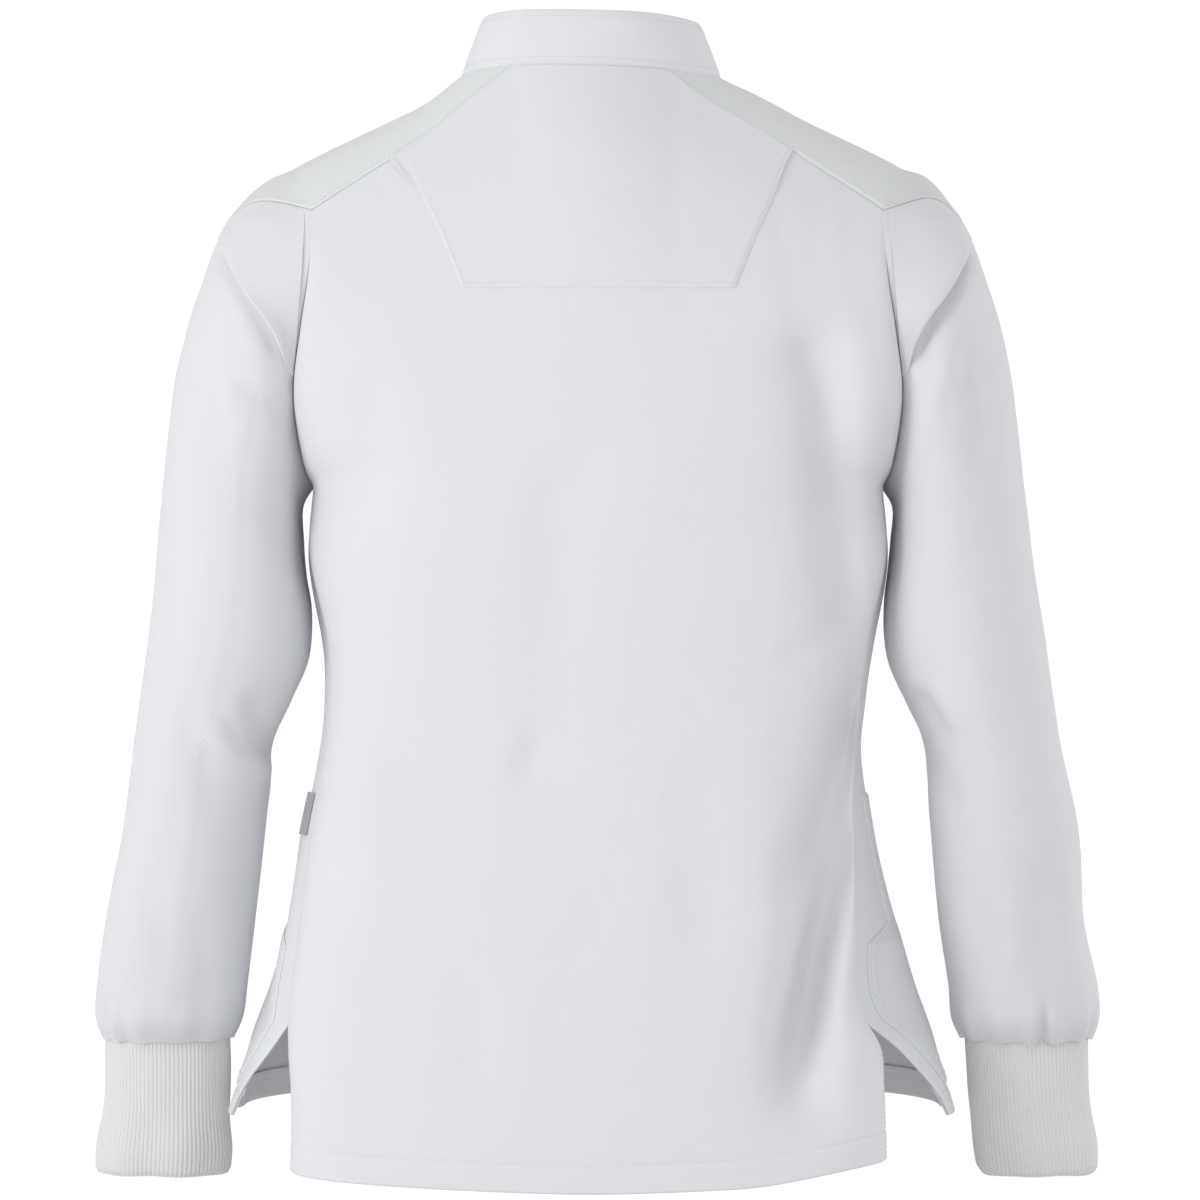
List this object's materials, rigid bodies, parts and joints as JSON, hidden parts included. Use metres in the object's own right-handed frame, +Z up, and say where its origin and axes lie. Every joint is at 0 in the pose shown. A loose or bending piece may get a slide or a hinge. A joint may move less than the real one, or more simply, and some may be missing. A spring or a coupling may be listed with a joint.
{
  "type": "women's work jacket",
  "caption": "Hollow white work jacket with stand collar, shoulder saddles, a back yoke, sleeve pleats, patch pockets, side slits and rib-knit cuffs.",
  "frame": {"origin": "over the middle of the neck opening, at the height of the centre-back neck seam, where the wearer's neck and shoulders hold the jacket", "axes": "+Z up; -Y is the jacket's front and +Y its back; +X is the wearer's left"},
  "size_m": [0.6717, 0.252, 0.7696],
  "materials": {
    "twill": "white fine twill, matt",
    "mesh": "white fine mesh knit, matt",
    "rib": "off-white rib knit, matt",
    "stud": "white enamelled press-stud cap, satin",
    "tag": "grey woven tape, matt"
  },
  "bodies": {
    "root": {"back_panel": "twill", "back_yoke": "twill", "collar": "twill", "cuff_left": "rib", "cuff_right": "rib", "front_left": "twill", "front_right": "twill", "pocket_left": "twill", "pocket_right": "twill", "press_stud_1": "stud", "press_stud_2": "stud", "press_stud_3": "stud", "press_stud_4": "stud", "press_stud_5": "stud", "press_stud_6": "stud", "press_stud_7": "stud", "saddle_left": "mesh", "saddle_right": "mesh", "side_tag": "tag", "sleeve_left": "twill", "sleeve_pleat_left": "twill", "sleeve_pleat_right": "twill", "sleeve_right": "twill"}
  },
  "joints": []
}
